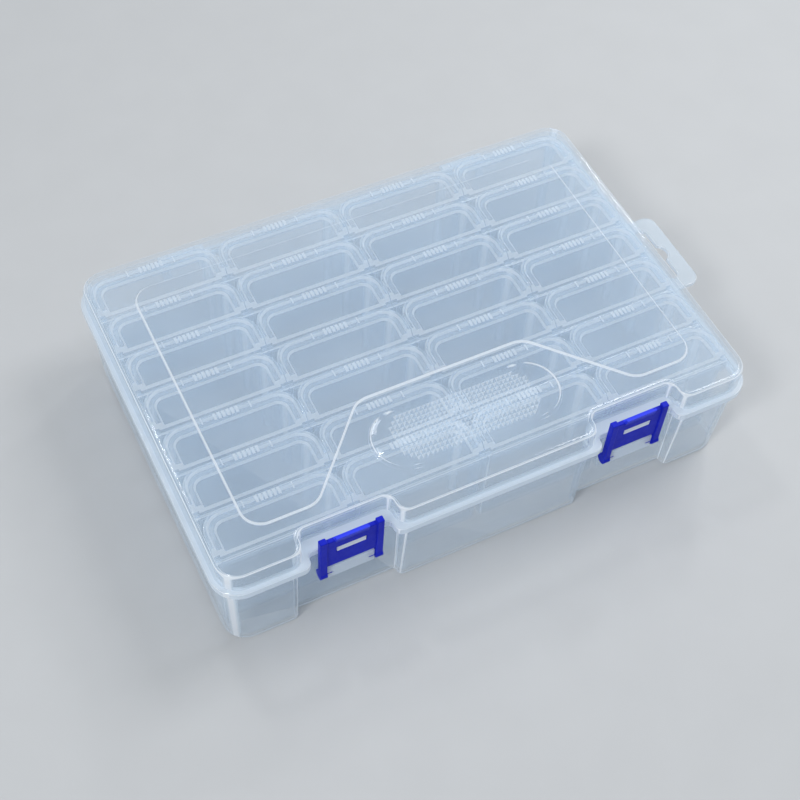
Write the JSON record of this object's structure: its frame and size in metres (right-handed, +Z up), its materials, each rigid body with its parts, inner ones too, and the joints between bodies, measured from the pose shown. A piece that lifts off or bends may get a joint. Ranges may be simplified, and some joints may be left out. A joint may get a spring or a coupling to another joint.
{
  "type": "compartment storage organizer",
  "caption": "Clear storage case with a hinged lid, snap latches and a hang tab, holding rows of lift-out small boxes that each have a flip lid.",
  "frame": {"origin": "centre of the tray's footprint, on the surface that it stands on", "axes": "+X along the front from left to right, +Y from the latches to the hinge, +Z up"},
  "size_m": [0.255, 0.171, 0.0552],
  "materials": {
    "clear_case": "clear polypropylene, slightly milky and blue-grey, glossy",
    "clear_box": "clear polypropylene, slightly milky, glossy",
    "clear_flip_lid": "clear polypropylene, slightly milky, glossy",
    "latch_blue": "opaque royal blue, semi-gloss"
  },
  "bodies": {
    "tray": {"base_tray": "clear_case", "box_r1c1": "clear_box", "box_r1c2": "clear_box", "box_r1c3": "clear_box", "box_r1c4": "clear_box", "box_r2c1": "clear_box", "box_r2c2": "clear_box", "box_r2c3": "clear_box", "box_r2c4": "clear_box", "box_r3c1": "clear_box", "box_r3c2": "clear_box", "box_r3c3": "clear_box", "box_r3c4": "clear_box", "box_r4c1": "clear_box", "box_r4c2": "clear_box", "box_r4c3": "clear_box", "box_r4c4": "clear_box", "box_r5c1": "clear_box", "box_r5c2": "clear_box", "box_r5c3": "clear_box", "box_r5c4": "clear_box", "box_r6c1": "clear_box", "box_r6c2": "clear_box", "box_r6c3": "clear_box", "box_r6c4": "clear_box", "box_r7c1": "clear_box", "box_r7c2": "clear_box", "box_r7c3": "clear_box", "box_r7c4": "clear_box"},
    "case_lid": {"case_lid": "clear_case"},
    "latch_left": {"latch_left": "latch_blue"},
    "latch_right": {"latch_right": "latch_blue"},
    "flip_lid_r1c1": {"flip_lid_r1c1": "clear_flip_lid"},
    "flip_lid_r1c2": {"flip_lid_r1c2": "clear_flip_lid"},
    "flip_lid_r1c3": {"flip_lid_r1c3": "clear_flip_lid"},
    "flip_lid_r1c4": {"flip_lid_r1c4": "clear_flip_lid"},
    "flip_lid_r2c1": {"flip_lid_r2c1": "clear_flip_lid"},
    "flip_lid_r2c2": {"flip_lid_r2c2": "clear_flip_lid"},
    "flip_lid_r2c3": {"flip_lid_r2c3": "clear_flip_lid"},
    "flip_lid_r2c4": {"flip_lid_r2c4": "clear_flip_lid"},
    "flip_lid_r3c1": {"flip_lid_r3c1": "clear_flip_lid"},
    "flip_lid_r3c2": {"flip_lid_r3c2": "clear_flip_lid"},
    "flip_lid_r3c3": {"flip_lid_r3c3": "clear_flip_lid"},
    "flip_lid_r3c4": {"flip_lid_r3c4": "clear_flip_lid"},
    "flip_lid_r4c1": {"flip_lid_r4c1": "clear_flip_lid"},
    "flip_lid_r4c2": {"flip_lid_r4c2": "clear_flip_lid"},
    "flip_lid_r4c3": {"flip_lid_r4c3": "clear_flip_lid"},
    "flip_lid_r4c4": {"flip_lid_r4c4": "clear_flip_lid"},
    "flip_lid_r5c1": {"flip_lid_r5c1": "clear_flip_lid"},
    "flip_lid_r5c2": {"flip_lid_r5c2": "clear_flip_lid"},
    "flip_lid_r5c3": {"flip_lid_r5c3": "clear_flip_lid"},
    "flip_lid_r5c4": {"flip_lid_r5c4": "clear_flip_lid"},
    "flip_lid_r6c1": {"flip_lid_r6c1": "clear_flip_lid"},
    "flip_lid_r6c2": {"flip_lid_r6c2": "clear_flip_lid"},
    "flip_lid_r6c3": {"flip_lid_r6c3": "clear_flip_lid"},
    "flip_lid_r6c4": {"flip_lid_r6c4": "clear_flip_lid"},
    "flip_lid_r7c1": {"flip_lid_r7c1": "clear_flip_lid"},
    "flip_lid_r7c2": {"flip_lid_r7c2": "clear_flip_lid"},
    "flip_lid_r7c3": {"flip_lid_r7c3": "clear_flip_lid"},
    "flip_lid_r7c4": {"flip_lid_r7c4": "clear_flip_lid"}
  },
  "joints": [
    {"name": "lid_hinge", "type": "hinge", "parent": "tray", "child": "case_lid", "pos_m": [0, 0.0857, 0.0412], "axis": [-1, 0, 0], "range_deg": [0, 180]},
    {"name": "latch_left_pivot", "type": "hinge", "parent": "tray", "child": "latch_left", "pos_m": [-0.0645, -0.0778, 0.027], "axis": [1, 0, 0], "range_deg": [0, 130]},
    {"name": "latch_right_pivot", "type": "hinge", "parent": "tray", "child": "latch_right", "pos_m": [0.0645, -0.0778, 0.027], "axis": [1, 0, 0], "range_deg": [0, 130]},
    {"name": "flip_hinge_r1c1", "type": "hinge", "parent": "tray", "child": "flip_lid_r1c1", "pos_m": [-0.0867, -0.0672, 0.0469], "axis": [1, 0, 0], "range_deg": [0, 110]},
    {"name": "flip_hinge_r1c2", "type": "hinge", "parent": "tray", "child": "flip_lid_r1c2", "pos_m": [-0.0289, -0.0672, 0.0469], "axis": [1, 0, 0], "range_deg": [0, 110]},
    {"name": "flip_hinge_r1c3", "type": "hinge", "parent": "tray", "child": "flip_lid_r1c3", "pos_m": [0.0289, -0.0672, 0.0469], "axis": [1, 0, 0], "range_deg": [0, 110]},
    {"name": "flip_hinge_r1c4", "type": "hinge", "parent": "tray", "child": "flip_lid_r1c4", "pos_m": [0.0867, -0.0672, 0.0469], "axis": [1, 0, 0], "range_deg": [0, 110]},
    {"name": "flip_hinge_r2c1", "type": "hinge", "parent": "tray", "child": "flip_lid_r2c1", "pos_m": [-0.0867, -0.04611, 0.0469], "axis": [1, 0, 0], "range_deg": [0, 110]},
    {"name": "flip_hinge_r2c2", "type": "hinge", "parent": "tray", "child": "flip_lid_r2c2", "pos_m": [-0.0289, -0.04611, 0.0469], "axis": [1, 0, 0], "range_deg": [0, 110]},
    {"name": "flip_hinge_r2c3", "type": "hinge", "parent": "tray", "child": "flip_lid_r2c3", "pos_m": [0.0289, -0.04611, 0.0469], "axis": [1, 0, 0], "range_deg": [0, 110]},
    {"name": "flip_hinge_r2c4", "type": "hinge", "parent": "tray", "child": "flip_lid_r2c4", "pos_m": [0.0867, -0.04611, 0.0469], "axis": [1, 0, 0], "range_deg": [0, 110]},
    {"name": "flip_hinge_r3c1", "type": "hinge", "parent": "tray", "child": "flip_lid_r3c1", "pos_m": [-0.0867, -0.02503, 0.0469], "axis": [1, 0, 0], "range_deg": [0, 110]},
    {"name": "flip_hinge_r3c2", "type": "hinge", "parent": "tray", "child": "flip_lid_r3c2", "pos_m": [-0.0289, -0.02503, 0.0469], "axis": [1, 0, 0], "range_deg": [0, 110]},
    {"name": "flip_hinge_r3c3", "type": "hinge", "parent": "tray", "child": "flip_lid_r3c3", "pos_m": [0.0289, -0.02503, 0.0469], "axis": [1, 0, 0], "range_deg": [0, 110]},
    {"name": "flip_hinge_r3c4", "type": "hinge", "parent": "tray", "child": "flip_lid_r3c4", "pos_m": [0.0867, -0.02503, 0.0469], "axis": [1, 0, 0], "range_deg": [0, 110]},
    {"name": "flip_hinge_r4c1", "type": "hinge", "parent": "tray", "child": "flip_lid_r4c1", "pos_m": [-0.0867, -0.00394, 0.0469], "axis": [1, 0, 0], "range_deg": [0, 110]},
    {"name": "flip_hinge_r4c2", "type": "hinge", "parent": "tray", "child": "flip_lid_r4c2", "pos_m": [-0.0289, -0.00394, 0.0469], "axis": [1, 0, 0], "range_deg": [0, 110]},
    {"name": "flip_hinge_r4c3", "type": "hinge", "parent": "tray", "child": "flip_lid_r4c3", "pos_m": [0.0289, -0.00394, 0.0469], "axis": [1, 0, 0], "range_deg": [0, 110]},
    {"name": "flip_hinge_r4c4", "type": "hinge", "parent": "tray", "child": "flip_lid_r4c4", "pos_m": [0.0867, -0.00394, 0.0469], "axis": [1, 0, 0], "range_deg": [0, 110]},
    {"name": "flip_hinge_r5c1", "type": "hinge", "parent": "tray", "child": "flip_lid_r5c1", "pos_m": [-0.0867, 0.01714, 0.0469], "axis": [1, 0, 0], "range_deg": [0, 110]},
    {"name": "flip_hinge_r5c2", "type": "hinge", "parent": "tray", "child": "flip_lid_r5c2", "pos_m": [-0.0289, 0.01714, 0.0469], "axis": [1, 0, 0], "range_deg": [0, 110]},
    {"name": "flip_hinge_r5c3", "type": "hinge", "parent": "tray", "child": "flip_lid_r5c3", "pos_m": [0.0289, 0.01714, 0.0469], "axis": [1, 0, 0], "range_deg": [0, 110]},
    {"name": "flip_hinge_r5c4", "type": "hinge", "parent": "tray", "child": "flip_lid_r5c4", "pos_m": [0.0867, 0.01714, 0.0469], "axis": [1, 0, 0], "range_deg": [0, 110]},
    {"name": "flip_hinge_r6c1", "type": "hinge", "parent": "tray", "child": "flip_lid_r6c1", "pos_m": [-0.0867, 0.03823, 0.0469], "axis": [1, 0, 0], "range_deg": [0, 110]},
    {"name": "flip_hinge_r6c2", "type": "hinge", "parent": "tray", "child": "flip_lid_r6c2", "pos_m": [-0.0289, 0.03823, 0.0469], "axis": [1, 0, 0], "range_deg": [0, 110]},
    {"name": "flip_hinge_r6c3", "type": "hinge", "parent": "tray", "child": "flip_lid_r6c3", "pos_m": [0.0289, 0.03823, 0.0469], "axis": [1, 0, 0], "range_deg": [0, 110]},
    {"name": "flip_hinge_r6c4", "type": "hinge", "parent": "tray", "child": "flip_lid_r6c4", "pos_m": [0.0867, 0.03823, 0.0469], "axis": [1, 0, 0], "range_deg": [0, 110]},
    {"name": "flip_hinge_r7c1", "type": "hinge", "parent": "tray", "child": "flip_lid_r7c1", "pos_m": [-0.0867, 0.05931, 0.0469], "axis": [1, 0, 0], "range_deg": [0, 110]},
    {"name": "flip_hinge_r7c2", "type": "hinge", "parent": "tray", "child": "flip_lid_r7c2", "pos_m": [-0.0289, 0.05931, 0.0469], "axis": [1, 0, 0], "range_deg": [0, 110]},
    {"name": "flip_hinge_r7c3", "type": "hinge", "parent": "tray", "child": "flip_lid_r7c3", "pos_m": [0.0289, 0.05931, 0.0469], "axis": [1, 0, 0], "range_deg": [0, 110]},
    {"name": "flip_hinge_r7c4", "type": "hinge", "parent": "tray", "child": "flip_lid_r7c4", "pos_m": [0.0867, 0.05931, 0.0469], "axis": [1, 0, 0], "range_deg": [0, 110]}
  ],
  "couplings": [
    {"joint": "flip_hinge_r1c1", "follows": "lid_hinge", "ratio": 0.6},
    {"joint": "flip_hinge_r1c2", "follows": "lid_hinge", "ratio": 0.6},
    {"joint": "flip_hinge_r1c3", "follows": "lid_hinge", "ratio": 0.6},
    {"joint": "flip_hinge_r1c4", "follows": "lid_hinge", "ratio": 0.6},
    {"joint": "flip_hinge_r2c1", "follows": "lid_hinge", "ratio": 0.6},
    {"joint": "flip_hinge_r2c2", "follows": "lid_hinge", "ratio": 0.6},
    {"joint": "flip_hinge_r2c3", "follows": "lid_hinge", "ratio": 0.6},
    {"joint": "flip_hinge_r2c4", "follows": "lid_hinge", "ratio": 0.6},
    {"joint": "flip_hinge_r3c1", "follows": "lid_hinge", "ratio": 0.6},
    {"joint": "flip_hinge_r3c2", "follows": "lid_hinge", "ratio": 0.6},
    {"joint": "flip_hinge_r3c3", "follows": "lid_hinge", "ratio": 0.6},
    {"joint": "flip_hinge_r3c4", "follows": "lid_hinge", "ratio": 0.6},
    {"joint": "flip_hinge_r4c1", "follows": "lid_hinge", "ratio": 0.6},
    {"joint": "flip_hinge_r4c2", "follows": "lid_hinge", "ratio": 0.6},
    {"joint": "flip_hinge_r4c3", "follows": "lid_hinge", "ratio": 0.6},
    {"joint": "flip_hinge_r4c4", "follows": "lid_hinge", "ratio": 0.6},
    {"joint": "flip_hinge_r5c1", "follows": "lid_hinge", "ratio": 0.6},
    {"joint": "flip_hinge_r5c2", "follows": "lid_hinge", "ratio": 0.6},
    {"joint": "flip_hinge_r5c3", "follows": "lid_hinge", "ratio": 0.6},
    {"joint": "flip_hinge_r5c4", "follows": "lid_hinge", "ratio": 0.6},
    {"joint": "flip_hinge_r6c1", "follows": "lid_hinge", "ratio": 0.6},
    {"joint": "flip_hinge_r6c2", "follows": "lid_hinge", "ratio": 0.6},
    {"joint": "flip_hinge_r6c3", "follows": "lid_hinge", "ratio": 0.6},
    {"joint": "flip_hinge_r6c4", "follows": "lid_hinge", "ratio": 0.6},
    {"joint": "flip_hinge_r7c1", "follows": "lid_hinge", "ratio": 0.6},
    {"joint": "flip_hinge_r7c2", "follows": "lid_hinge", "ratio": 0.6},
    {"joint": "flip_hinge_r7c3", "follows": "lid_hinge", "ratio": 0.6},
    {"joint": "flip_hinge_r7c4", "follows": "lid_hinge", "ratio": 0.6}
  ]
}
